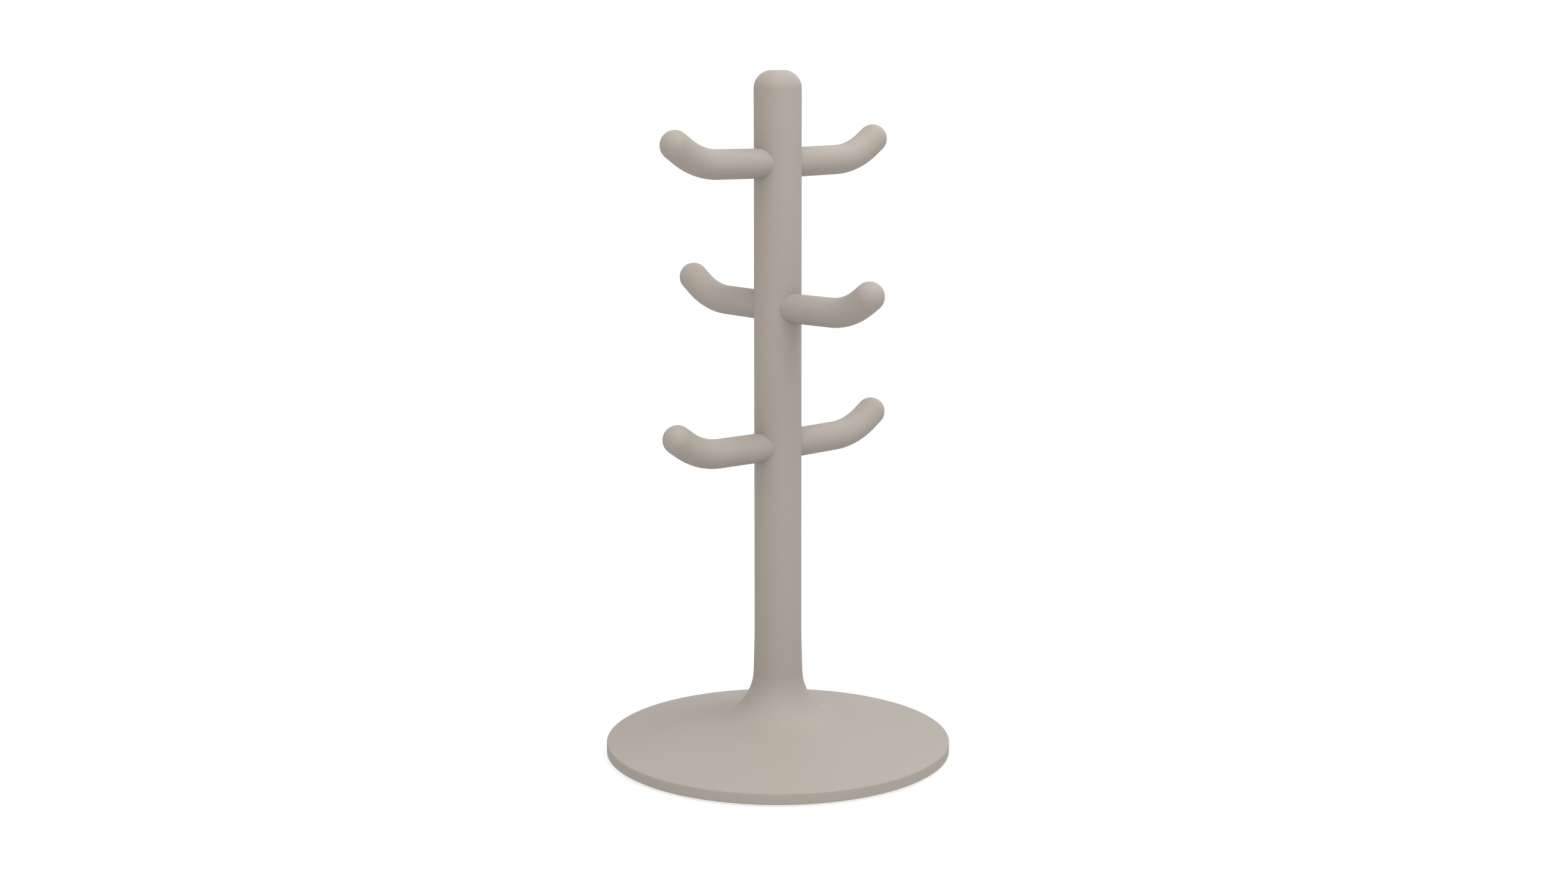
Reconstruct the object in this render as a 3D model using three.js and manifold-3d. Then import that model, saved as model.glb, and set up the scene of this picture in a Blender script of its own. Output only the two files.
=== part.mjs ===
// Mug tree: a cast base with a drawn-up neck, a steel post, six bent arms in three crossed tiers.
// Millimetres and degrees, +Z up. The origin is under the post's axis, on the foot ring's resting face.
import * as THREE from "three";
import { mergeVertices } from "three/addons/utils/BufferGeometryUtils.js";
import Module from "manifold-3d";

const wasm = await Module();
wasm.setup();

// Overall
const overallHeight = 314.3;
const baseDiameter = 160;

// Base casting
const rimHeight = 5.4; // upright edge of the casting
const rimRound = 0.7; // its top corner
const rimBreak = 0.4; // its bottom corner
const baseFall = 10.8; // fall of the base's top towards its rim, degrees
const neckFillet = 23.5; // radius that turns the base's top up into the neck
const neckFlare = 0.54; // what the neck's radius gains down its flare
const flareHeight = 26.7;
const spigotHeight = 18; // spigot of the casting inside the post
const spigotLead = 1; // chamfer at its top
const counterboreRoom = 4; // around the flat washer
const boltHeadRecess = 1.8; // from the casting's underside up to the bolt head

// Foot ring
const rimLand = 6; // bare width of the casting outside the ring
const centreLand = 7; // bare width between the ring and the counterbore
const footThickness = 2;
const footProud = 0.8; // how far it stands below the casting
const footRound = 0.4;

// Post and crown
const postDiameter = 21.76; // at the neck
const postTaper = 0.3; // what the diameter loses up to the crown
const postWall = 2;
const crownRound = 8; // shoulder radius of the crown plug
const crownSpigot = 12;
const crownLead = 0.8;

// Arms
const crownToUpperArms = 41; // down from the top of the crown to the upper arms' axis
const neckToLowerArms = 80.5; // up from the top of the neck
const middleArmsDrop = 0.55; // below the midpoint of the other two
const armDiameter = 13.34;
const armRise = 0.67; // degrees above level, from the post to the bend
const armStraight = 35.3; // from the post's axis to the bend
const armBendRadius = 36.6;
const armBend = 33.4; // degrees
const armEnd = 4.7; // straight beyond the bend, to the centre of the round end

// Fastening
const dowelDiameter = 7;
const dowelGrip = 16; // length of the dowel inside each arm
const dowelLead = 0.8;
const boltDiameter = 8;
const boltHeadAcrossFlats = 13;
const boltHeadHeight = 5.3;
const flatWasherDiameter = 24;
const flatWasherThickness = 2;
const lockWasherWidth = 2.7; // of its section
const lockWasherSlack = 0.6; // around the bolt
const lockWasherThickness = 2;
const lockWasherSlot = 2.2;
const bushLength = 20;
const bushLead = 0.8;
const boltPastBush = 3;

// Clearances
const seat = 0.3; // between faces that meet
const slip = 0.4; // between a shank or dowel and the hole around it

// Facets
const baseSides = 64;
const postSides = 40;
const armSides = 20;
const armSteps = 14;
const smallSides = 24;

// Levels and radii that follow
const fall = THREE.MathUtils.degToRad(baseFall);
const rimRadius = baseDiameter / 2;
const rimTop = footProud + rimHeight;
const postBottomRadius = postDiameter / 2;
const postTopRadius = postBottomRadius - postTaper / 2;
const postBore = postBottomRadius - postWall;
const flareAngle = Math.atan((2 * neckFlare) / flareHeight); // lean of the neck where the fillet starts
const flareFoot = postBottomRadius + neckFlare;
const filletFoot = flareFoot + neckFillet * (Math.cos(flareAngle) - Math.sin(fall));
const filletBottom = rimTop + (rimRadius - filletFoot) * Math.tan(fall);
const flareBottom = filletBottom + neckFillet * (Math.cos(fall) - Math.sin(flareAngle));
const neckTop = flareBottom + flareHeight;
const postBottom = neckTop + seat;
const postTop = overallHeight - crownRound;
const spigotTop = neckTop + spigotHeight;
const bushBottom = spigotTop + seat;
const bushTop = bushBottom + bushLength;
const counterboreRadius = flatWasherDiameter / 2 + counterboreRoom;
const boltHeadTop = footProud + boltHeadRecess + boltHeadHeight;
const lockWasherBottom = boltHeadTop + seat;
const flatWasherBottom = lockWasherBottom + lockWasherThickness + seat;
const counterboreTop = flatWasherBottom + flatWasherThickness + seat;
const footOuterRadius = rimRadius - rimLand;
const footInnerRadius = counterboreRadius + centreLand;
const upperArms = overallHeight - crownToUpperArms;
const lowerArms = neckTop + neckToLowerArms;
const middleArms = (upperArms + lowerArms) / 2 - middleArmsDrop;

function postRadiusAt(height) {
  const share = (height - neckTop) / (postTop - neckTop);
  return THREE.MathUtils.lerp(postBottomRadius, postTopRadius, share);
}

const finishes = {
  coating: { color: 0xb0a69b, roughness: 0.62, metalness: 0 },
  zinc: { color: 0xb6b8ba, roughness: 0.35, metalness: 1 },
  steel: { color: 0x8f9194, roughness: 0.4, metalness: 1 },
  rubber: { color: 0x2b2a29, roughness: 0.85, metalness: 0 },
};

const mugTree = new THREE.Group();

function addPiece(name, geometry, finish, parent = mugTree) {
  const piece = new THREE.Mesh(geometry, new THREE.MeshStandardMaterial(finishes[finish]));
  piece.name = name;
  parent.add(piece);
  return piece;
}

// A closed geometry as a solid that can be cut and joined.
function solidOf(geometry) {
  const bare = geometry.clone();
  bare.deleteAttribute("normal");
  bare.deleteAttribute("uv");
  const merged = mergeVertices(bare, 1e-3);
  const vertProperties = merged.attributes.position.array;
  const triVerts = new Uint32Array(merged.index.array);
  return new wasm.Manifold(new wasm.Mesh({ numProp: 3, vertProperties, triVerts }));
}

function geometryOf(solid) {
  const { vertProperties, triVerts } = solid.getMesh();
  const geometry = new THREE.BufferGeometry();
  geometry.setAttribute("position", new THREE.BufferAttribute(new Float32Array(vertProperties), 3));
  geometry.setIndex(new THREE.BufferAttribute(new Uint32Array(triVerts), 1));
  geometry.computeVertexNormals();
  return geometry;
}

// A piece turned about Z from [radius, height] points, which go round the section anticlockwise.
function turned(section, sides) {
  const points = section.map(([radius, height]) => new THREE.Vector2(radius, height));
  return new THREE.LatheGeometry(points, sides).rotateX(Math.PI / 2);
}

// A turned ring: its section is closed by a repeat of its first point.
function turnedRing(section, sides) {
  return turned([...section, section[0]], sides);
}

// Points of a round corner in a section, from one angle to another in degrees.
function corner(centreRadius, centreHeight, radius, from, to, steps) {
  return Array.from({ length: steps + 1 }, (_, step) => {
    const angle = THREE.MathUtils.degToRad(from + ((to - from) * step) / steps);
    return [centreRadius + radius * Math.cos(angle), centreHeight + radius * Math.sin(angle)];
  });
}

function uprightRod(radius, bottom, top, sides = smallSides) {
  return new THREE.CylinderGeometry(radius, radius, top - bottom, sides)
    .rotateX(Math.PI / 2)
    .translate(0, 0, (top + bottom) / 2);
}

function levelRod(radius, from, to) {
  return new THREE.CylinderGeometry(radius, radius, to - from, smallSides)
    .rotateZ(Math.PI / 2)
    .translate((from + to) / 2, 0, 0);
}

// The trumpet of the base: its falling top, the fillet and the flare that runs out into the post.
function trumpetOutline() {
  const fillet = corner(
    flareFoot + neckFillet * Math.cos(flareAngle),
    flareBottom + neckFillet * Math.sin(flareAngle),
    neckFillet,
    270 - baseFall,
    180 + THREE.MathUtils.radToDeg(flareAngle),
    9,
  );
  const flareSteps = 3;
  const flare = Array.from({ length: flareSteps }, (_, step) => {
    const rise = (step + 1) / flareSteps;
    return [postBottomRadius + neckFlare * (1 - rise) ** 2, flareBottom + flareHeight * rise];
  });
  return [...fillet, ...flare];
}

function baseCasting() {
  const shankHole = boltDiameter / 2 + slip;
  const spigotRadius = postBore - seat;
  const recessTop = footThickness + seat;
  const recessOuter = footOuterRadius + seat;
  const recessInner = footInnerRadius - seat;
  return turnedRing(
    [
      [shankHole, counterboreTop],
      [counterboreRadius, counterboreTop],
      [counterboreRadius, footProud],
      [recessInner, footProud],
      [recessInner, recessTop],
      [recessOuter, recessTop],
      [recessOuter, footProud],
      [rimRadius - rimBreak, footProud],
      [rimRadius, footProud + rimBreak],
      ...corner(rimRadius - rimRound, rimTop - rimRound, rimRound, 0, 90 - baseFall, 3),
      ...trumpetOutline(),
      [spigotRadius, neckTop],
      [spigotRadius, spigotTop - spigotLead],
      [spigotRadius - spigotLead, spigotTop],
      [shankHole, spigotTop],
    ],
    baseSides,
  );
}

function footRing() {
  const outer = footOuterRadius;
  const inner = footInnerRadius;
  return turnedRing(
    [
      [inner, footThickness],
      [inner, footRound],
      [inner + footRound, 0],
      [outer - footRound, 0],
      [outer, footRound],
      [outer, footThickness],
    ],
    baseSides,
  );
}

// The post is a tube, drilled across at each tier for the dowel that carries its two arms.
function postTube() {
  const tube = turnedRing(
    [
      [postBore, postBottom],
      [postBottomRadius, postBottom],
      [postTopRadius, postTop],
      [postBore, postTop],
    ],
    postSides,
  );
  const reach = postBottomRadius + postWall;
  return tiers.reduce((body, tier) => {
    const drill = levelRod(dowelDiameter / 2 + slip, -reach, reach)
      .rotateZ(tier.turn)
      .translate(0, 0, tier.height);
    return body.subtract(solidOf(drill));
  }, solidOf(tube));
}

function crownPlug() {
  const bottom = postTop + seat;
  const plugRadius = postBore - seat;
  const plugBottom = postTop - crownSpigot;
  const shoulder = crownRound - seat;
  return turned(
    [
      [0, plugBottom],
      [plugRadius - crownLead, plugBottom],
      [plugRadius, plugBottom + crownLead],
      [plugRadius, bottom],
      ...corner(postTopRadius - crownRound, bottom, crownRound, 0, 90, 6).map(([radius, height]) => [
        radius,
        bottom + ((height - bottom) * shoulder) / crownRound,
      ]),
      [0, overallHeight],
    ],
    postSides,
  );
}

// The arm's centreline in the XZ plane, from the post's axis: a straight, a bend and a short end.
class ArmLine extends THREE.Curve {
  constructor() {
    super();
    this.rise = THREE.MathUtils.degToRad(armRise);
    this.bend = THREE.MathUtils.degToRad(armBend);
    this.bendLength = armBendRadius * this.bend;
    this.total = armStraight + this.bendLength + armEnd;
  }

  getPoint(share, target = new THREE.Vector3()) {
    const along = share * this.total;
    const straight = Math.min(along, armStraight);
    const turn = this.rise + Math.min(Math.max(along - armStraight, 0) / armBendRadius, this.bend);
    const end = Math.max(along - armStraight - this.bendLength, 0);
    return target.set(
      straight * Math.cos(this.rise) +
        armBendRadius * (Math.sin(turn) - Math.sin(this.rise)) +
        end * Math.cos(turn),
      0,
      straight * Math.sin(this.rise) +
        armBendRadius * (Math.cos(this.rise) - Math.cos(turn)) +
        end * Math.sin(turn),
    );
  }
}

// A bent bar with a round end. Its inner end is coped to the post and bored for the dowel.
function arm(height) {
  const line = new ArmLine();
  const section = new THREE.Shape().absarc(0, 0, armDiameter / 2, 0, 2 * Math.PI);
  const bar = new THREE.ExtrudeGeometry(section, {
    extrudePath: line,
    steps: armSteps,
    curveSegments: armSides / 2, // a full circle takes two of these per segment
  });
  const tip = line.getPoint(1);
  const ball = new THREE.SphereGeometry(armDiameter / 2, armSides, armSides / 2)
    .rotateX(Math.PI / 2)
    .rotateY(Math.PI / 2 - line.rise - line.bend)
    .translate(tip.x, tip.y, tip.z);
  const postFace = postRadiusAt(height);
  const cope = uprightRod(postFace + seat, -armDiameter, armDiameter, postSides);
  const bore = levelRod(dowelDiameter / 2 + slip, 0, postFace + dowelGrip + seat);
  return solidOf(bar).add(solidOf(ball)).subtract(solidOf(cope)).subtract(solidOf(bore));
}

function dowel(height) {
  const radius = dowelDiameter / 2;
  const half = postRadiusAt(height) + dowelGrip;
  return turned(
    [
      [0, -half],
      [radius - dowelLead, -half],
      [radius, -half + dowelLead],
      [radius, half - dowelLead],
      [radius - dowelLead, half],
      [0, half],
    ],
    smallSides,
  ).rotateY(Math.PI / 2);
}

function bush() {
  const outer = postBore - seat;
  const inner = boltDiameter / 2 + slip;
  return turnedRing(
    [
      [inner, bushBottom],
      [outer - bushLead, bushBottom],
      [outer, bushBottom + bushLead],
      [outer, bushTop - bushLead],
      [outer - bushLead, bushTop],
      [inner, bushTop],
    ],
    smallSides,
  );
}

function bolt() {
  const radius = boltDiameter / 2;
  const tip = bushTop + boltPastBush;
  const shank = turned(
    [
      [0, boltHeadTop - boltHeadHeight / 2],
      [radius, boltHeadTop - boltHeadHeight / 2],
      [radius, tip - radius / 4],
      [radius - radius / 4, tip],
      [0, tip],
    ],
    smallSides,
  );
  const acrossCorners = boltHeadAcrossFlats / Math.cos(Math.PI / 6);
  const head = uprightRod(acrossCorners / 2, boltHeadTop - boltHeadHeight, boltHeadTop, 6);
  return solidOf(head).add(solidOf(shank));
}

function flatWasher() {
  const outer = flatWasherDiameter / 2;
  const inner = boltDiameter / 2 + slip;
  const top = flatWasherBottom + flatWasherThickness;
  return turnedRing(
    [
      [inner, flatWasherBottom],
      [outer, flatWasherBottom],
      [outer, top],
      [inner, top],
    ],
    smallSides,
  );
}

// The lock washer is a split ring.
function lockWasher() {
  const inner = boltDiameter / 2 + lockWasherSlack;
  const outer = inner + lockWasherWidth;
  const split = Math.asin(lockWasherSlot / 2 / outer);
  const ring = new THREE.Shape()
    .absarc(0, 0, outer, split, 2 * Math.PI - split, false)
    .absarc(0, 0, inner, 2 * Math.PI - split, split, true);
  return new THREE.ExtrudeGeometry(ring, {
    depth: lockWasherThickness,
    bevelEnabled: false,
    curveSegments: smallSides / 2,
  }).translate(0, 0, lockWasherBottom);
}

// Upper and lower arms lie along X, the middle pair across them along Y.
const tiers = [
  { name: "upper", height: upperArms, turn: 0, sides: ["right", "left"] },
  { name: "middle", height: middleArms, turn: Math.PI / 2, sides: ["rear", "front"] },
  { name: "lower", height: lowerArms, turn: 0, sides: ["right", "left"] },
];

addPiece("base_casting", baseCasting(), "coating");
addPiece("foot_ring", footRing(), "rubber");
addPiece("post_tube", geometryOf(postTube()), "coating");
addPiece("crown_plug", crownPlug(), "coating");
addPiece("post_bush", bush(), "steel");
addPiece("base_bolt", geometryOf(bolt()), "zinc");
addPiece("flat_washer", flatWasher(), "zinc");
addPiece("lock_washer", lockWasher(), "zinc");

for (const { name, height, turn, sides } of tiers) {
  const tier = new THREE.Group();
  tier.position.z = height;
  tier.rotation.z = turn;
  mugTree.add(tier);
  addPiece(`arm_dowel_${name}`, dowel(height), "steel", tier);
  sides.forEach((side, index) => {
    const piece = addPiece(`arm_${name}_${side}`, geometryOf(arm(height)), "coating", tier);
    piece.rotation.z = index * Math.PI;
  });
}

export default mugTree;
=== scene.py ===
import math

import bpy
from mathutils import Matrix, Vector


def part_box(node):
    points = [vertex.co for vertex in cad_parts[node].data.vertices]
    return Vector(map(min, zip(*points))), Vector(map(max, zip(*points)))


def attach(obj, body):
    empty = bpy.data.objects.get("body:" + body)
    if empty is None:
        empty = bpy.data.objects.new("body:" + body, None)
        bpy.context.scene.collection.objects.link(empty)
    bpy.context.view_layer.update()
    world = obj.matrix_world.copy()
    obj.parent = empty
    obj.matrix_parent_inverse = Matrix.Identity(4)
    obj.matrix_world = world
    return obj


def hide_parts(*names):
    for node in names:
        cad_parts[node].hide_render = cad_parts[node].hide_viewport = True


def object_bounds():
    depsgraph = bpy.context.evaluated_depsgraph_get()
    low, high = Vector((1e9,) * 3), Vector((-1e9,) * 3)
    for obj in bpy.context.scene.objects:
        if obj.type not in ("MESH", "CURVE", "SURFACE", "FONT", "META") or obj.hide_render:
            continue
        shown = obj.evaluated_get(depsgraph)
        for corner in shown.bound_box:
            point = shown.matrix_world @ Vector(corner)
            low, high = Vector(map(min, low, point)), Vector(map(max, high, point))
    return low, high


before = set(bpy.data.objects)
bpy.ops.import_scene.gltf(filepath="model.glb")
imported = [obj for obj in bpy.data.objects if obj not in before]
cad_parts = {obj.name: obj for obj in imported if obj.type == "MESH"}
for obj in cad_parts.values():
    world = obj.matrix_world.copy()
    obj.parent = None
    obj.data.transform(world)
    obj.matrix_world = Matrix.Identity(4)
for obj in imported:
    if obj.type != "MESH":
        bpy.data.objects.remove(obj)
cadLow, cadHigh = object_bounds()
print("frame loaded with", len(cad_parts), "nodes")

mm = 0.001  # outlines and sizes below are in millimetres, and Blender works in metres
clearance = 0.3  # between pieces that fit together
overshoot = 1.0  # how far a cutter reaches past what it cuts

view = {
    "lens": 50.0,
    "sensor": 36.0,
    "away": 981.5,  # level distance from the post's axis
    "aside": 2.8,  # how far the camera stands to the right of that line
    "height": 319.5,
    "heading": 42.14,  # degrees from +Y towards +X
    "tilt": 9.97,  # degrees downwards
    "nearest": 10.0,  # what the camera sees lies between these
    "farthest": 60000.0,
}


def aimCamera():
    heading = math.radians(view["heading"])
    ahead = Vector((math.sin(heading), math.cos(heading), 0))
    right = Vector((math.cos(heading), -math.sin(heading), 0))
    spot = right * view["aside"] - ahead * view["away"] + Vector((0, 0, view["height"]))
    bpy.ops.object.camera_add(location=spot * mm)
    camera = bpy.context.object
    camera.name = "camera"
    camera.rotation_euler = (math.radians(90 - view["tilt"]), 0, -heading)
    camera.data.lens = view["lens"]
    camera.data.sensor_width = view["sensor"]
    camera.data.clip_start = view["nearest"] * mm
    camera.data.clip_end = view["farthest"] * mm
    bpy.context.scene.camera = camera


aimCamera()
print("camera aimed")


# Finishes

class Wire:  # one output of a node, and arithmetic on it adds the Math nodes
    def __init__(self, finish, socket):
        self.finish = finish
        self.socket = socket

    def maths(self, operation, first, second):
        settings = {"operation": operation}
        return self.finish.node("ShaderNodeMath", settings, {0: first, 1: second})

    def __add__(self, other):
        return self.maths("ADD", self, other)

    def __radd__(self, other):
        return self.maths("ADD", other, self)

    def __sub__(self, other):
        return self.maths("SUBTRACT", self, other)

    def __rsub__(self, other):
        return self.maths("SUBTRACT", other, self)

    def __mul__(self, other):
        return self.maths("MULTIPLY", self, other)

    def __rmul__(self, other):
        return self.maths("MULTIPLY", other, self)


class Finish:  # one material and the nodes that make it
    def __init__(self, name):
        self.material = bpy.data.materials.new(name)
        self.material.use_nodes = True
        self.tree = self.material.node_tree
        self.tree.nodes.clear()
        self.shader = self.tree.nodes.new("ShaderNodeBsdfPrincipled")
        output = self.tree.nodes.new("ShaderNodeOutputMaterial")
        self.tree.links.new(self.shader.outputs[0], output.inputs["Surface"])
        self.place = self.node("ShaderNodeTexCoord", output="Object")

    def node(self, kind, settings=None, inputs=None, output=0):
        made = self.tree.nodes.new(kind)
        for key, value in (settings or {}).items():
            if key == "stops":
                self.setStops(made.color_ramp, value)
            else:
                setattr(made, key, value)
        for key, value in (inputs or {}).items():
            self.feed(made.inputs[key], value)
        return Wire(self, made.outputs[output])

    def feed(self, socket, value):
        if isinstance(value, Wire):
            self.tree.links.new(value.socket, socket)
        else:
            socket.default_value = value

    def setStops(self, ramp, stops):
        while len(ramp.elements) < len(stops):
            ramp.elements.new(0.5)
        for element, (position, level) in zip(ramp.elements, stops):
            element.position = position
            element.color = (level, level, level, 1)

    def surface(self, **values):
        for name, value in values.items():
            self.feed(self.shader.inputs[name.replace("_", " ")], value)

    def noise(self, size, detail, rough, place=None):  # size is about that of one blot
        inputs = {"Vector": place or self.place, "Scale": 1 / (size * mm)}
        inputs.update({"Detail": detail, "Roughness": rough})
        return self.node("ShaderNodeTexNoise", {}, inputs)

    def stretched(self, scale):
        return self.node("ShaderNodeMapping", {}, {"Vector": self.place, "Scale": scale})

    def ramp(self, value, *stops):
        return self.node("ShaderNodeValToRGB", {"stops": stops}, {"Fac": value})

    def blend(self, factor, first, second):
        settings = {"data_type": "RGBA"}
        return self.node("ShaderNodeMix", settings, {"Factor": factor, 6: first, 7: second}, 2)

    def bump(self, height, depth, under=None):
        inputs = {"Height": height, "Distance": depth * mm, "Strength": 1.0}
        if under:
            inputs["Normal"] = under
        return self.node("ShaderNodeBump", {}, inputs)


def tint(colour, gain):
    return tuple(channel * gain for channel in colour) + (1.0,)


coatLook = {
    "colour": (0.262, 0.230, 0.2045),  # warm grey, linear
    "cool": (0.42, 0.42, 0.44, 1),  # broad patches lean to this or to the next
    "warm": (0.50, 0.36, 0.24, 1),
    "patch": 0.012,  # how far they lean
    "patchSize": 42.0,
    "mottle": 0.018,  # how much the fine mottle differs
    "mottleSize": 1.5,
    "peelSize": 1.7,  # ripples of the dried coat
    "peelDepth": 0.018,
    "grainSize": 0.33,
    "grainDepth": 0.004,
    "roughness": 0.55,
    "roughnessSwing": 0.08,
    "sheen": 0.12,  # specular level
}


def makeCoat():
    look = coatLook
    coat = Finish("taupeCoat")
    patch = coat.noise(look["patchSize"], detail=3, rough=0.55)
    mottle = coat.noise(look["mottleSize"], detail=4, rough=0.62)
    peel = coat.noise(look["peelSize"], detail=1.5, rough=0.4)
    grain = coat.noise(look["grainSize"], detail=2, rough=0.6)
    darker = tint(look["colour"], 1 - look["mottle"])
    lighter = tint(look["colour"], 1 + look["mottle"])
    speckled = coat.blend(coat.ramp(mottle, (0.30, 0.0), (0.70, 1.0)), darker, lighter)
    cooler = coat.blend(look["patch"], speckled, look["cool"])
    warmer = coat.blend(look["patch"], speckled, look["warm"])
    coat.surface(
        Base_Color=coat.blend(coat.ramp(patch, (0.36, 0.0), (0.64, 1.0)), cooler, warmer),
        Roughness=look["roughness"] + (grain - 0.5) * look["roughnessSwing"],
        Normal=coat.bump(grain, look["grainDepth"], coat.bump(peel, look["peelDepth"])),
    )
    coat.shader.inputs["Specular IOR Level"].default_value = look["sheen"]
    return coat.material


rubberLook = {
    "dark": (0.019, 0.018, 0.017, 1),
    "light": (0.034, 0.033, 0.031, 1),
    "dust": (0.13, 0.12, 0.11, 1),
    "dustShare": 0.35,  # how much of the dust's colour shows
    "dustSize": 9.0,
    "speckShare": 0.18,
    "speckSize": 0.22,
    "grainSize": 0.5,
    "grainDepth": 0.05,
    "roughness": 0.72,
    "dustRoughness": 0.2,  # what the dust adds to it
}


def makeRubber():
    look = rubberLook
    rubber = Finish("footRubber")
    grain = rubber.noise(look["grainSize"], detail=3, rough=0.65)
    dust = rubber.noise(look["dustSize"], detail=5, rough=0.6)
    dust = rubber.ramp(dust, (0.45, 0.0), (0.75, 1.0))
    speck = rubber.noise(look["speckSize"], detail=1, rough=0.5)
    speck = rubber.ramp(speck, (0.62, 0.0), (0.72, 1.0))
    black = rubber.blend(grain, look["dark"], look["light"])
    covered = dust * look["dustShare"] + speck * look["speckShare"]
    rubber.surface(
        Base_Color=rubber.blend(covered, black, look["dust"]),
        Roughness=look["roughness"] + dust * look["dustRoughness"],
        Normal=rubber.bump(grain, look["grainDepth"]),
    )
    return rubber.material


steelLook = {
    "ringSize": 0.5,  # of the marks that turning or plating leaves
    "ringDepth": 0.012,
    "ringShare": 0.4,  # how much the marks and the cloud colour it
    "cloudShare": 0.6,
    "cloudSize": 6.0,
    "fleckSize": 0.35,
    "fleckShare": 0.3,
    "ringRoughness": 0.18,
    "cloudRoughness": 0.08,
}
zincLook = {
    "dark": (0.44, 0.45, 0.47, 1),
    "light": (0.72, 0.73, 0.74, 1),
    "roughness": 0.28,
    "stretch": (1, 1, 0.1),  # the marks run along the axis
}
turnedLook = {
    "dark": (0.26, 0.26, 0.27, 1),
    "light": (0.50, 0.49, 0.48, 1),
    "roughness": 0.34,
    "stretch": (0.1, 0.1, 1),  # the marks run across the axis
}


def makeSteel(name, kind):
    look = steelLook
    steel = Finish(name)
    stretched = steel.stretched(kind["stretch"])
    rings = steel.noise(look["ringSize"], detail=3, rough=0.6, place=stretched)
    cloud = steel.noise(look["cloudSize"], detail=4, rough=0.55)
    fleck = steel.noise(look["fleckSize"], detail=2, rough=0.6)
    fleck = steel.ramp(fleck, (0.5, 0.0), (0.8, 1.0))
    shade = cloud * look["cloudShare"] + rings * look["ringShare"]
    body = steel.blend(shade, kind["dark"], kind["light"])
    uneven = (rings - 0.5) * look["ringRoughness"] + cloud * look["cloudRoughness"]
    steel.surface(
        Base_Color=steel.blend(fleck * look["fleckShare"], body, kind["dark"]),
        Roughness=kind["roughness"] + uneven,
        Normal=steel.bump(rings, look["ringDepth"]),
    )
    steel.shader.inputs["Metallic"].default_value = 1.0
    return steel.material


finishes = {
    "coating": makeCoat(),
    "foot_rubber": makeRubber(),
    "zinc_steel": makeSteel("zincPlate", zincLook),
    "plain_steel": makeSteel("turnedSteel", turnedLook),
}
print("finishes made:", len(finishes))


# Ways of working that several pieces share

def clearSelection():
    if bpy.context.mode != "OBJECT":
        bpy.ops.object.mode_set(mode="OBJECT")
    bpy.ops.object.select_all(action="DESELECT")


def editAll(piece):
    clearSelection()
    piece.select_set(True)
    bpy.context.view_layer.objects.active = piece
    bpy.ops.object.mode_set(mode="EDIT")
    bpy.ops.mesh.select_all(action="SELECT")


def settle(piece):  # the object goes to the origin and its place into its mesh
    clearSelection()
    piece.select_set(True)
    bpy.context.view_layer.objects.active = piece
    bpy.ops.object.transform_apply(location=True, rotation=True, scale=True)


def closeUp(piece, gap=0.002):  # merges the points that lie closer than this
    editAll(piece)
    bpy.ops.mesh.remove_doubles(threshold=gap * mm)
    bpy.ops.mesh.normals_make_consistent(inside=False)
    bpy.ops.object.mode_set(mode="OBJECT")


def smoothCurves(piece, angle=32):
    clearSelection()
    piece.select_set(True)
    bpy.context.view_layer.objects.active = piece
    bpy.ops.object.shade_smooth_by_angle(angle=math.radians(angle))


def addVertex(point):
    clearSelection()
    bpy.ops.mesh.primitive_plane_add(size=mm, location=point)
    bpy.ops.object.mode_set(mode="EDIT")
    bpy.ops.mesh.select_all(action="SELECT")
    bpy.ops.mesh.merge(type="CENTER")


def drawLine(points):  # extrudes one vertex along the points, in metres
    addVertex(points[0])
    for start, end in zip(points, points[1:]):
        move = {"value": Vector(end) - Vector(start)}
        bpy.ops.mesh.extrude_region_move(TRANSFORM_OT_translate=move)
    return bpy.context.object


def drawOutline(name, outline):  # from (radius, height) points, upright in the XZ plane
    piece = drawLine([(radius * mm, 0, height * mm) for radius, height in outline])
    piece.name = name
    return piece


def turnPiece(name, outline, steps):  # spins the outline once round Z
    piece = drawOutline(name, outline)
    bpy.ops.mesh.select_all(action="SELECT")
    bpy.ops.mesh.spin(steps=steps, angle=2 * math.pi, center=(0, 0, 0), axis=(0, 0, 1))
    bpy.ops.object.mode_set(mode="OBJECT")
    settle(piece)
    closeUp(piece)
    return piece


def arc(centre, radius, start, end, steps):  # the points of a round, from one angle to another
    angles = [math.radians(start + (end - start) * step / steps) for step in range(steps + 1)]
    return [(centre[0] + radius * math.cos(a), centre[1] + radius * math.sin(a)) for a in angles]


def softened(outline, radius, steps=4):  # the closed outline with every sharp corner rounded
    soft = []
    earlier = outline[-1:] + outline[:-1]
    later = outline[1:] + outline[:1]
    for before, here, after in zip(earlier, outline, later):
        corner = Vector(here)
        back = Vector(before) - corner
        on = Vector(after) - corner
        if math.degrees(back.angle(on)) > 160 or min(back.length, on.length) < 2 * radius:
            soft.append(here)
            continue
        first = corner + back.normalized() * radius
        last = corner + on.normalized() * radius
        for step in range(steps + 1):
            t = step / steps
            point = first * (1 - t) ** 2 + corner * 2 * t * (1 - t) + last * t ** 2
            soft.append((point.x, point.y))
    return soft


def closed(outline):
    return outline + outline[:1]


def turnHelix(piece, turns, pitch, steps):  # sweeps the closed outline round Z, and up
    screw = piece.modifiers.new("helix", "SCREW")
    screw.axis = "Z"
    screw.angle = 2 * math.pi * min(turns, 1)
    screw.screw_offset = pitch * mm * min(turns, 1)
    screw.iterations = max(1, round(turns))
    screw.steps = steps
    screw.render_steps = steps
    clearSelection()
    bpy.context.view_layer.objects.active = piece
    bpy.ops.object.modifier_apply(modifier=screw.name)
    editAll(piece)
    bpy.ops.mesh.fill_holes(sides=0)  # closes both ends
    bpy.ops.object.mode_set(mode="OBJECT")
    closeUp(piece)


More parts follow.
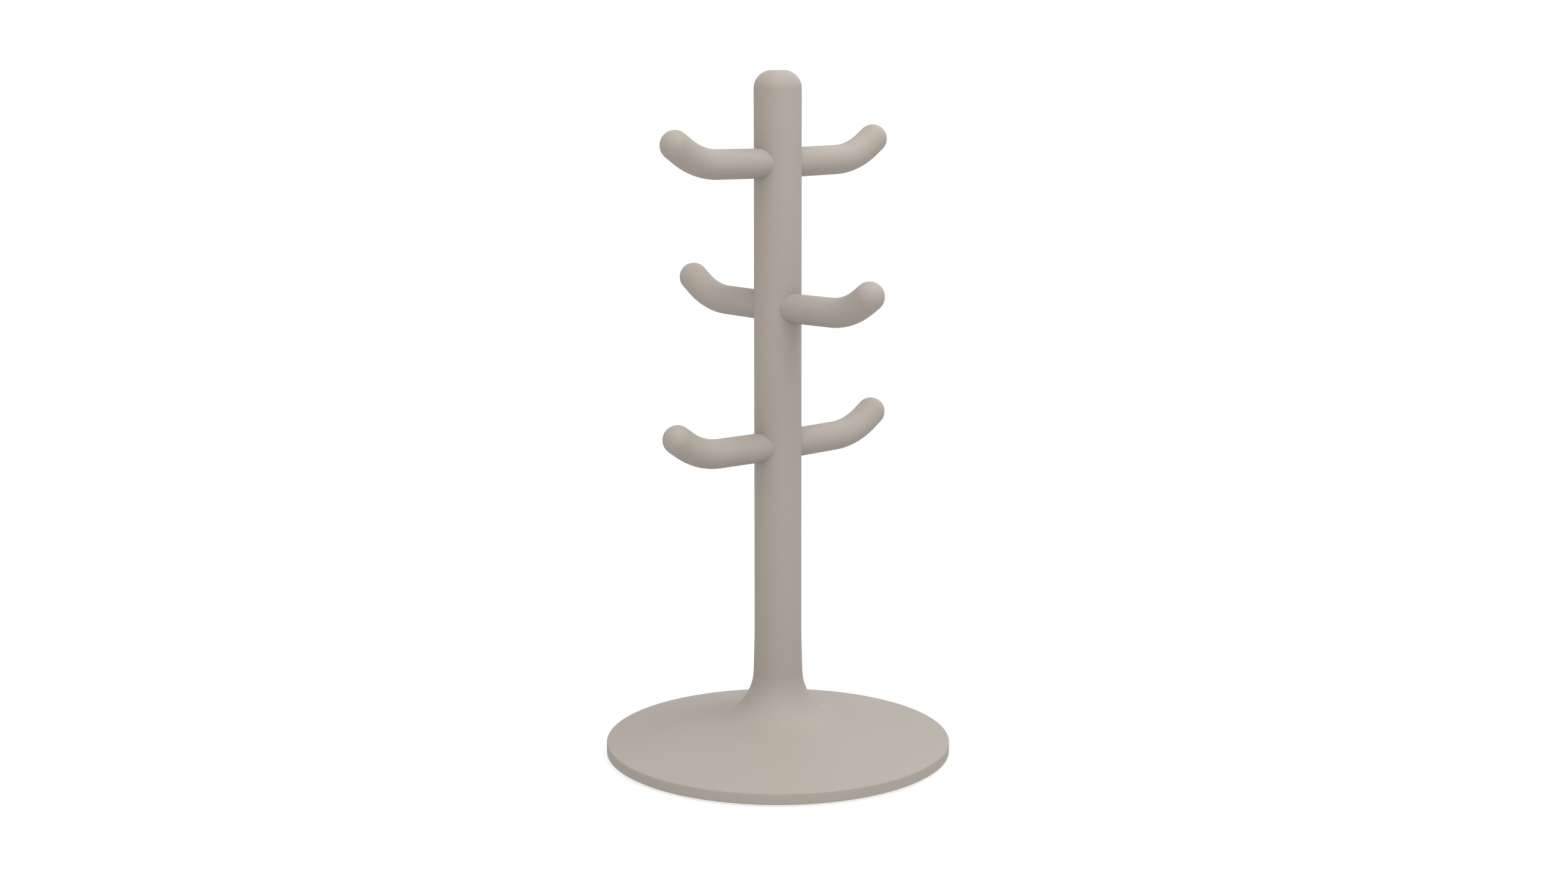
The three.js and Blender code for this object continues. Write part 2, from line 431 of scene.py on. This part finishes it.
thread = {
    "rootHalf": 0.46,  # half the ridge's width at its root and at its crest, as shares of the pitch
    "crestHalf": 0.07,
    "sink": 0.1,  # how far the ridge reaches into what it stands on
    "steps": 48,  # to one turn
}


def makeThread(name, root, crest, bottom, top, pitch):  # the ridge of a thread, from root to crest
    ridge = drawOutline(name, closed([
        (root, bottom - thread["rootHalf"] * pitch),
        (crest, bottom - thread["crestHalf"] * pitch),
        (crest, bottom + thread["crestHalf"] * pitch),
        (root, bottom + thread["rootHalf"] * pitch),
    ]))
    bpy.ops.object.mode_set(mode="OBJECT")
    settle(ridge)
    closeUp(ridge)
    turnHelix(ridge, (top - bottom) / pitch, pitch, thread["steps"])
    return ridge


knurl = {
    "flat": (0.35, 0.65),  # the crest of a tooth, as shares of the way to the next
    "turn": 0.1,  # of a tooth, which keeps the grooves clear of the seams of turned pieces
}


def makeKnurl(radius, bottom, top, teeth, depth, lead):  # an upright rod with teeth all round it
    crestStart, crestEnd = knurl["flat"]
    points = []
    for tooth in range(teeth):
        for share, inset in ((0.0, depth), (crestStart, 0.0), (crestEnd, 0.0)):
            angle = 2 * math.pi * (tooth + share + knurl["turn"]) / teeth
            reach = (radius - inset) * mm
            points.append((reach * math.cos(angle), reach * math.sin(angle), bottom * mm))
    rod = drawLine(points)
    bpy.ops.mesh.select_all(action="SELECT")
    bpy.ops.mesh.edge_face_add()
    narrow = 1 - lead / radius
    foot = (0, 0, bottom * mm)
    bpy.ops.transform.resize(value=(narrow, narrow, 1), center_override=foot)
    for rise, scale in ((lead, 1 / narrow), (top - bottom - 2 * lead, 1), (lead, narrow)):
        move = {"value": (0, 0, rise * mm)}
        bpy.ops.mesh.extrude_region_move(TRANSFORM_OT_translate=move)
        bpy.ops.transform.resize(value=(scale, scale, 1), center_override=(0, 0, 0))
    bpy.ops.object.mode_set(mode="OBJECT")
    settle(rod)
    closeUp(rod)
    return rod


def cutWith(piece, cutter, operation="DIFFERENCE"):
    cut = piece.modifiers.new("cut", "BOOLEAN")
    cut.operation = operation
    cut.solver = "EXACT"
    cut.object = cutter
    clearSelection()
    bpy.context.view_layer.objects.active = piece
    bpy.ops.object.modifier_apply(modifier=cut.name)
    bpy.data.objects.remove(cutter)
    closeUp(piece, 0.004)  # also merges the slivers that cutting leaves


def rodAcross(length, height, turn):  # what bores the post and the arms for a dowel
    clearSelection()
    bpy.ops.mesh.primitive_cylinder_add(
        vertices=48, radius=post["dowelHole"] * mm, depth=length * mm,
        location=Vector((0, 0, height)) * mm, rotation=(0, math.pi / 2, math.radians(turn)),
    )
    return bpy.context.object


def copyPiece(piece, name, turn, rise):  # turned about the post's axis, and lifted
    clearSelection()
    twin = piece.copy()
    twin.data = piece.data.copy()
    twin.name = name
    bpy.context.scene.collection.objects.link(twin)
    twin.rotation_euler.z = math.radians(turn)
    twin.location.z = rise * mm
    settle(twin)
    return twin


def mountPiece(piece, node, slot):  # gives the piece its finish and puts it in the node's place
    piece.data.materials.clear()
    piece.data.materials.append(finishes[slot])
    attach(piece, "root")
    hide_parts(node)


def low(node):  # the lower corner of the node's box
    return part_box(node)[0] / mm


def high(node):  # and its upper one
    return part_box(node)[1] / mm


# Levels and radii that the frame gives
tubeBottom = low("post_tube").z
tubeTop = high("post_tube").z
tubeRadius = high("post_tube").x
crownTop = high("crown_plug").z
crownRadius = high("crown_plug").x
wallInside = high("post_bush").x
tiers = {
    "upper": {"sides": ("right", "left"), "dowel": "arm_dowel_upper", "turn": 0},
    "middle": {"sides": ("rear", "front"), "dowel": "arm_dowel_middle", "turn": 90},
    "lower": {"sides": ("right", "left"), "dowel": "arm_dowel_lower", "turn": 0},
}
for tier in tiers.values():
    tier["height"] = (low(tier["dowel"]).z + high(tier["dowel"]).z) / 2


base = {
    "rimHeight": 5.4,
    "rimRound": 0.7,
    "rimBreak": 0.4,
    "fall": 10.8,  # degrees, the slope of the top towards the rim
    "neckFillet": 23.5,
    "neckFlare": 0.54,  # what the neck's radius gains down its flare
    "flareHeight": 26.7,
    "recessDepth": 1.5,  # of the groove for the foot ring
    "counterbore": 16.0,  # radius
    "counterboreDepth": 12.0,
    "shankHole": 4.4,  # radius
    "spigotLead": 1.0,
    "cornerSoftness": 0.3,
    "rimSteps": 8,
    "slopeSteps": 16,
    "filletSteps": 40,
    "flareSteps": 12,
    "sides": 256,
}


def neckOutline(underside):  # from the rim up over the top to the neck's upper end
    rimRadius = high("base_casting").x
    rimTop = underside + base["rimHeight"]
    fillet = base["neckFillet"]
    lean = math.atan(2 * base["neckFlare"] / base["flareHeight"])
    foot = tubeRadius + base["neckFlare"]
    flareBottom = tubeBottom - base["flareHeight"]
    centre = (foot + fillet * math.cos(lean), flareBottom + fillet * math.sin(lean))
    inset = base["rimRound"]
    rimCentre = (rimRadius - inset, rimTop - inset)
    rim = arc(rimCentre, inset, 0, 90 - base["fall"], base["rimSteps"])
    filletEnds = (270 - base["fall"], 180 + math.degrees(lean))
    rounded = arc(centre, fillet, *filletEnds, base["filletSteps"])
    inner, outer = Vector(rounded[0]), Vector(rim[-1])
    slopeSteps = base["slopeSteps"]
    slope = [tuple(outer.lerp(inner, step / slopeSteps)) for step in range(1, slopeSteps)]
    flare = []
    for step in range(1, base["flareSteps"] + 1):
        rise = step / base["flareSteps"]
        radius = tubeRadius + base["neckFlare"] * (1 - rise) ** 2
        flare.append((radius, flareBottom + base["flareHeight"] * rise))
    return rim + slope + rounded + flare


def makeBase():
    underside = low("base_casting").z
    top = high("base_casting").z
    ring = high("foot_ring").x + clearance
    ringHole = footRing["hole"] - clearance
    recessTop = underside + base["recessDepth"]
    ceiling = underside + base["counterboreDepth"]
    rimRadius = high("base_casting").x
    under = softened([
        (base["shankHole"], top),
        (base["shankHole"], ceiling),
        (base["counterbore"], ceiling),
        (base["counterbore"], underside),
        (ringHole, underside),
        (ringHole, recessTop),
        (ring, recessTop),
        (ring, underside),
        (rimRadius - base["rimBreak"], underside),
    ], base["cornerSoftness"])
    edge = [(rimRadius, underside + base["rimBreak"])]
    spigot = [
        (wallInside, tubeBottom),
        (wallInside, top - base["spigotLead"]),
        (wallInside - base["spigotLead"], top),
    ]
    outline = closed(under + edge + neckOutline(underside) + spigot)
    piece = turnPiece("baseCasting", outline, base["sides"])
    smoothCurves(piece)
    mountPiece(piece, "base_casting", "coating")


footRing = {
    "hole": 23.0,  # radius
    "ribs": 16,  # grip ribs from the inner edge to the outer one
    "ribDepth": 0.35,
    "land": 0.62,  # the flat crest of a rib, as a share of the way to the next
    "groove": (0.62, 0.70, 0.78, 0.84, 0.92, 1.0),  # and the points of the groove after it
    "edgeRound": 0.4,
    "sides": 192,
}


def makeFootRing():
    bottom, top = low("foot_ring").z, high("foot_ring").z
    outer, inner = high("foot_ring").x, footRing["hole"]
    edge = footRing["edgeRound"]
    outline = [(inner, top), (inner, bottom + edge), (inner + edge, bottom)]
    pitch = (outer - inner - 2 * edge) / footRing["ribs"]
    for rib in range(footRing["ribs"]):
        start = inner + edge + rib * pitch
        for share in footRing["groove"]:
            depth = math.sin(math.pi * (share - footRing["land"]) / (1 - footRing["land"]))
            outline.append((start + share * pitch, bottom + footRing["ribDepth"] * depth))
    outline += [(outer, bottom + edge), (outer, top)]
    piece = turnPiece("footRing", closed(outline), footRing["sides"])
    smoothCurves(piece, 40)
    mountPiece(piece, "foot_ring", "foot_rubber")


post = {
    "wall": 2.0,
    "edgeLead": 0.25,  # chamfer inside both ends
    "loopReach": 5.6,  # the loops above and below each tier stay under the arms
    "dowelHole": 3.9,  # radius
    "drillLength": 40.0,  # of the rods that bore the holes
    "sides": 192,
}


def makePost():
    inside = tubeRadius - post["wall"]
    levels = [tubeBottom]
    for name in ("lower", "middle", "upper"):
        height = tiers[name]["height"]
        levels += [height - post["loopReach"], height, height + post["loopReach"]]
    levels.append(tubeTop)
    span = tubeTop - tubeBottom
    outline = []
    for level in levels:
        narrowing = (crownRadius - tubeRadius) * (level - tubeBottom) / span
        outline.append((tubeRadius + narrowing, level))
    lead = post["edgeLead"]
    outline += [(inside + lead, tubeTop), (inside, tubeTop - lead)]
    outline += [(inside, level) for level in reversed(levels[1:-1])]
    outline += [(inside, tubeBottom + lead), (inside + lead, tubeBottom)]
    piece = turnPiece("postTube", closed(outline), post["sides"])
    for tier in tiers.values():
        cutWith(piece, rodAcross(post["drillLength"], tier["height"], tier["turn"]))
    smoothCurves(piece)
    mountPiece(piece, "post_tube", "coating")


crown = {
    "shoulder": 8.0,  # radius of the round at the top
    "shoulderSteps": 28,
    "centre": 1.2,  # radius of the small disc in the middle of the top
    "spigotLead": 0.8,
    "sides": 192,
}


def makeCrown():
    bottom = low("crown_plug").z
    shoulder, lead = crown["shoulder"], crown["spigotLead"]
    squeeze = (crownTop - tubeTop) / shoulder
    corner = (crownRadius - shoulder, tubeTop)
    dome = [
        (radius, tubeTop + (height - tubeTop) * squeeze)
        for radius, height in arc(corner, shoulder, 0, 90, crown["shoulderSteps"])
    ]
    outline = [(0, bottom), (wallInside - lead, bottom), (wallInside, bottom + lead)]
    outline += [(wallInside, tubeTop)] + dome + [(crown["centre"], crownTop), (0, crownTop)]
    piece = turnPiece("crownPlug", outline, crown["sides"])
    smoothCurves(piece)
    mountPiece(piece, "crown_plug", "coating")


arm = {
    "radius": 6.67,
    "rise": 0.67,  # degrees above level up to the bend
    "start": 4.0,  # inside the post, where the cope takes it away
    "straight": 35.3,  # from the post's axis to the bend
    "bendRadius": 36.6,
    "bend": 33.4,  # degrees
    "end": 4.7,  # straight beyond the bend
    "sink": 0.12,  # how far the coped end sinks into the coat of the post
    "copeLength": 60.0,  # of the upright rod that copes it
    "copeSides": 384,
    "sides": 72,
    "straightSteps": 8,
    "bendSteps": 24,
    "endSteps": 2,
    "capSteps": 18,
}


def pushOut(step):  # extrudes the open end, and the step is in millimetres
    bpy.ops.mesh.extrude_region_move(TRANSFORM_OT_translate={"value": step * mm})


def makeArm():
    rise = math.radians(arm["rise"])
    bend = math.radians(arm["bend"])
    along = Vector((math.cos(rise), 0, math.sin(rise)))
    clearSelection()
    bpy.ops.mesh.primitive_circle_add(
        vertices=arm["sides"], radius=arm["radius"] * mm, fill_type="NOTHING",
        location=along * arm["start"] * mm, rotation=(0, math.pi / 2 - rise, 0),
    )
    piece = bpy.context.object
    piece.name = "arm"
    bpy.ops.object.transform_apply(location=True, rotation=True, scale=True)
    bpy.ops.object.mode_set(mode="EDIT")
    bpy.ops.mesh.select_all(action="SELECT")
    for _ in range(arm["straightSteps"]):
        pushOut(along * (arm["straight"] - arm["start"]) / arm["straightSteps"])
    above = Vector((-math.sin(rise), 0, math.cos(rise)))
    bendCentre = along * arm["straight"] + above * arm["bendRadius"]
    bpy.ops.mesh.spin(steps=arm["bendSteps"], angle=bend, center=bendCentre * mm, axis=(0, 1, 0))
    turned = rise + bend
    outward = Vector((math.cos(turned), 0, math.sin(turned)))
    bendEnd = bendCentre + Vector((math.sin(turned), 0, -math.cos(turned))) * arm["bendRadius"]
    for _ in range(arm["endSteps"]):
        pushOut(outward * arm["end"] / arm["endSteps"])
    tip = bendEnd + outward * arm["end"]
    quarter = math.pi / 2
    for step in range(1, arm["capSteps"]):
        before = quarter * (step - 1) / arm["capSteps"]
        after = quarter * step / arm["capSteps"]
        advance = arm["radius"] * (math.sin(after) - math.sin(before))
        pushOut(outward * advance)
        centre = (tip + outward * arm["radius"] * math.sin(after)) * mm
        shrink = math.cos(after) / math.cos(before)
        bpy.ops.transform.resize(value=(shrink, shrink, shrink), center_override=centre)
    last = quarter * (arm["capSteps"] - 1) / arm["capSteps"]
    pushOut(outward * arm["radius"] * (1 - math.sin(last)))
    bpy.ops.mesh.merge(type="CENTER")
    bpy.ops.mesh.select_all(action="DESELECT")
    bpy.ops.mesh.select_non_manifold()
    bpy.ops.mesh.edge_face_add()  # closes the inner end
    bpy.ops.object.mode_set(mode="OBJECT")
    closeUp(piece)
    return piece


def copeArm(piece):
    clearSelection()
    bpy.ops.mesh.primitive_cylinder_add(
        vertices=arm["copeSides"], radius=(crownRadius - arm["sink"]) * mm,
        depth=arm["copeLength"] * mm,
    )
    cutWith(piece, bpy.context.object)
    grip = high("arm_dowel_upper").x + clearance
    cutWith(piece, rodAcross(2 * grip, 0, 0))
    smoothCurves(piece, 40)


def makeArms():
    pattern = makeArm()
    copeArm(pattern)
    for name, tier in tiers.items():
        for index, side in enumerate(tier["sides"]):
            turn = tier["turn"] + 180 * index
            piece = copyPiece(pattern, "arm" + name.title() + side.title(), turn, tier["height"])
            mountPiece(piece, "arm_" + name + "_" + side, "coating")
    bpy.data.objects.remove(pattern)


bush = {
    "teeth": 72,
    "toothDepth": 0.22,
    "lead": 0.8,
    "bore": 4.12,  # radius at the crests of its thread
    "threadDepth": 0.25,
    "mouthGain": 0.2,  # how far the chamfered mouth stands outside the thread
    "sides": 96,
}


def makeBush():
    bottom, top = low("post_bush").z, high("post_bush").z
    piece = makeKnurl(wallInside, bottom, top, bush["teeth"], bush["toothDepth"], bush["lead"])
    piece.name = "postBush"
    crest = bush["bore"]
    root = crest + bush["threadDepth"]
    mouth = root + bush["mouthGain"]
    bore = turnPiece("bore", [
        (0, bottom - overshoot),
        (mouth + overshoot, bottom - overshoot),
        (mouth, bottom),
        (crest, bottom + mouth - crest),
        (crest, top - mouth + crest),
        (mouth, top),
        (mouth + overshoot, top + overshoot),
        (0, top + overshoot),
    ], bush["sides"])
    cutWith(piece, bore)
    ends = (bottom - overshoot, top + overshoot)
    cutWith(piece, makeThread("groove", crest - thread["sink"], root, *ends, bolt["pitch"]))
    smoothCurves(piece, 30)
    mountPiece(piece, "post_bush", "plain_steel")


bolt = {
    "radius": 4.0,
    "pitch": 1.25,
    "threadLength": 27.0,
    "threadDepth": 0.68,
    "runout": 0.8,  # where the shank narrows to the thread's root
    "ridgeLead": 0.6,  # the ridge starts this much before the root does
    "tipChamfer": 1.0,
    "tipBreak": 0.3,
    "headChamfer": 30,  # degrees
    "headFace": 6.1,  # radius of the flat left on the end of the head
    "seatGain": 0.35,  # the flat under the head is this much wider
    "seatShare": 0.7,  # and its chamfer this much of the other one
    "headMargin": 0.5,  # the chamfering cone reaches this far past the head's corners
    "cornerRound": 0.35,
    "neckRound": 0.35,  # under the head
    "sides": 96,
    "headSides": 144,
}


def makeHead(bottom, top):
    corner = high("base_bolt").y
    clearSelection()
    bpy.ops.mesh.primitive_cylinder_add(
        vertices=6, radius=corner * mm, depth=(top - bottom) * mm,
        location=(0, 0, (top + bottom) / 2 * mm),
    )
    head = bpy.context.object
    head.name = "baseBolt"
    settle(head)
    editAll(head)
    bpy.ops.mesh.select_all(action="DESELECT")
    bpy.ops.mesh.select_mode(type="EDGE")
    bpy.ops.object.mode_set(mode="OBJECT")
    for edge in head.data.edges:  # the six upright ones
        ends = [head.data.vertices[index].co.z for index in edge.vertices]
        edge.select = abs(ends[0] - ends[1]) > mm
    bpy.ops.object.mode_set(mode="EDIT")
    bpy.ops.mesh.bevel(offset=bolt["cornerRound"] * mm, segments=4)
    bpy.ops.mesh.select_mode(type="VERT")
    bpy.ops.object.mode_set(mode="OBJECT")
    face = bolt["headFace"]
    reach = corner + bolt["headMargin"]
    drop = (reach - face) * math.tan(math.radians(bolt["headChamfer"]))
    envelope = turnPiece("envelope", [
        (0, bottom),
        (face, bottom),
        (reach, bottom + drop),
        (reach, top - drop * bolt["seatShare"]),
        (face + bolt["seatGain"], top),
        (0, top),
    ], bolt["headSides"])
    cutWith(head, envelope, "INTERSECT")
    return head


def makeShank(bottom, tip):
    radius, neck = bolt["radius"], bolt["neckRound"]
    root = radius - bolt["threadDepth"]
    threadStart = tip - bolt["threadLength"]
    outline = [(0, bottom - overshoot), (radius + neck, bottom - overshoot)]
    outline += arc((radius + neck, bottom + neck), neck, 270, 180, 5)
    outline += [
        (radius, threadStart - bolt["runout"]),
        (root, threadStart),
        (root, tip - bolt["tipBreak"]),
        (root - bolt["tipBreak"], tip),
        (0, tip),
    ]
    shank = turnPiece("shank", outline, bolt["sides"])
    ends = (threadStart - bolt["ridgeLead"], tip + overshoot)
    ridge = makeThread("ridge", root - thread["sink"], radius, *ends, bolt["pitch"])
    chamfer = turnPiece("chamfer", [
        (0, threadStart - 2 * overshoot),
        (radius + overshoot, threadStart - 2 * overshoot),
        (radius + overshoot, tip - overshoot - bolt["tipChamfer"]),
        (radius - bolt["tipChamfer"], tip),
        (0, tip),
    ], bolt["sides"])
    cutWith(ridge, chamfer, "INTERSECT")
    cutWith(shank, ridge, "UNION")
    return shank


def makeBolt():
    bottom, tip = low("base_bolt").z, high("base_bolt").z
    headTop = low("lock_washer").z - clearance
    piece = makeHead(bottom, headTop)
    cutWith(piece, makeShank(headTop, tip), "UNION")
    smoothCurves(piece, 30)
    mountPiece(piece, "base_bolt", "zinc_steel")


washer = {
    "flatRound": 0.45,
    "lockRound": 0.3,
    "lockWidth": 2.7,  # from its hole to its rim
    "lockRise": 0.22,  # one end of the split ring stands this much over the other
    "lockGap": 10.5,  # degrees, half the gap between its ends
    "flatSides": 144,
    "lockSides": 120,
}


def makeFlatWasher():
    bottom, top = low("flat_washer").z, high("flat_washer").z
    hole, rim = base["shankHole"], high("flat_washer").x
    corners = [(hole, bottom), (rim, bottom), (rim, top), (hole, top)]
    outline = softened(corners, washer["flatRound"], 5)
    piece = turnPiece("flatWasher", closed(outline), washer["flatSides"])
    smoothCurves(piece)
    mountPiece(piece, "flat_washer", "zinc_steel")


def makeLockWasher():
    bottom, top = low("lock_washer").z, high("lock_washer").z - washer["lockRise"]
    rim = -low("lock_washer").x
    hole = rim - washer["lockWidth"]
    corners = [(hole, bottom), (rim, bottom), (rim, top), (hole, top)]
    piece = drawOutline("lockWasher", closed(softened(corners, washer["lockRound"])))
    bpy.ops.object.mode_set(mode="OBJECT")
    settle(piece)
    closeUp(piece)
    share = 1 - washer["lockGap"] / 180
    turnHelix(piece, share, washer["lockRise"] / share, washer["lockSides"])
    piece.rotation_euler.z = math.radians(washer["lockGap"])
    settle(piece)
    smoothCurves(piece, 40)
    mountPiece(piece, "lock_washer", "zinc_steel")


dowel = {
    "core": 3.3,  # radius between the knurled ends
    "coreInset": 1.0,  # its ends lie this far inside the knurled ones
    "grip": 12.5,  # length of each knurled end
    "teeth": 36,
    "toothDepth": 0.18,
    "lead": 0.8,
    "sides": 72,
}


def makeDowels():
    tooth = (dowel["teeth"], dowel["toothDepth"], dowel["lead"])
    for name, tier in tiers.items():
        span = high(tier["dowel"]) - low(tier["dowel"])
        half = max(span.x, span.y) / 2
        radius = span.z / 2
        coreEnd = half - dowel["coreInset"]
        core = [(0, -coreEnd), (dowel["core"], -coreEnd), (dowel["core"], coreEnd), (0, coreEnd)]
        piece = turnPiece("dowel" + name.title(), core, dowel["sides"])
        for start in (-half, half - dowel["grip"]):
            cutWith(piece, makeKnurl(radius, start, start + dowel["grip"], *tooth), "UNION")
        piece.rotation_euler = (0, math.pi / 2, math.radians(tier["turn"]))
        piece.location.z = tier["height"] * mm
        settle(piece)
        smoothCurves(piece, 30)
        mountPiece(piece, tier["dowel"], "plain_steel")


makeFootRing()
makeBase()
print("base and foot ring made")
makePost()
makeCrown()
print("post and crown made")
makeArms()
print("arms made")
makeDowels()
makeBush()
makeBolt()
makeFlatWasher()
makeLockWasher()
print("dowels, bush, bolt and washers made")


studio = {
    "floorRadius": 14.0,  # metres, as are the other lengths here but one
    "floorDrop": 0.05,  # millimetres, which keeps the floor clear of the foot ring's ribs
    "floorColour": (0.2, 0.2, 0.2, 1),  # for what the lamps add to the floor's own glow
    "floorRoughness": 0.9,
    "glowNear": 0.72,  # the floor is a lit white table, a little brighter away from the stand
    "glowFar": 0.84,
    "glowSpread": 1.5,  # from the stand to where it is brightest
    "lampDistance": 1.7,
    "lampSize": 1.2,
    "skyStrength": 1.0,
    "skyColour": (1.0, 1.0, 1.0, 1),
}
lamps = {  # bearings from the camera's own side, positive to the right, and all in degrees
    "side": {"bearing": 60, "elevation": 65, "power": 18.6, "colour": (0.90, 0.97, 1.0)},
    "front": {"bearing": 0, "elevation": 65, "power": 6.0, "colour": (1.0, 0.93, 0.82)},
    "low": {"bearing": 0, "elevation": 14, "power": 8.4, "colour": (1.0, 0.99, 0.98)},
    "left": {"bearing": -60, "elevation": 65, "power": 3.0, "colour": (1.0, 0.95, 0.88)},
    "back": {"bearing": 140, "elevation": 35, "power": 6.4, "colour": (1.0, 1.0, 1.0)},
}


def makeFloor():
    clearSelection()
    bpy.ops.mesh.primitive_circle_add(
        vertices=96, radius=studio["floorRadius"], fill_type="NGON",
        location=(0, 0, -studio["floorDrop"] * mm),
    )
    floor = bpy.context.object
    floor.name = "floor"
    paper = Finish("paleFloor")
    away = paper.node("ShaderNodeVectorMath", {"operation": "LENGTH"}, {0: paper.place}, "Value")
    share = away * (1 / studio["glowSpread"])
    paper.surface(
        Base_Color=studio["floorColour"],
        Roughness=studio["floorRoughness"],
        Emission_Color=paper.ramp(share, (0.1, studio["glowNear"]), (1.0, studio["glowFar"])),
    )
    paper.shader.inputs["Emission Strength"].default_value = 1.0
    floor.data.materials.append(paper.material)


def makeLamps():
    middle = (cadLow + cadHigh) / 2
    for name, lamp in lamps.items():
        bearing = math.radians(lamp["bearing"] - view["heading"])
        elevation = math.radians(lamp["elevation"])
        level = Vector((math.sin(bearing), -math.cos(bearing), 0))
        toLamp = level * math.cos(elevation) + Vector((0, 0, math.sin(elevation)))
        bpy.ops.object.light_add(type="AREA", location=middle + toLamp * studio["lampDistance"])
        light = bpy.context.object
        light.name = name + "Lamp"
        light.rotation_euler = (-toLamp).to_track_quat("-Z", "Y").to_euler()
        light.data.shape = "DISK"
        light.data.size = studio["lampSize"]
        light.data.energy = lamp["power"]
        light.data.color = lamp["colour"]


def makeSky():
    world = bpy.data.worlds.new("studioSky")
    bpy.context.scene.world = world
    world.use_nodes = True
    background = world.node_tree.nodes["Background"]
    background.inputs["Color"].default_value = studio["skyColour"]
    background.inputs["Strength"].default_value = studio["skyStrength"]


makeFloor()
makeLamps()
makeSky()
bpy.context.scene.view_settings.view_transform = "Standard"
print("studio made")
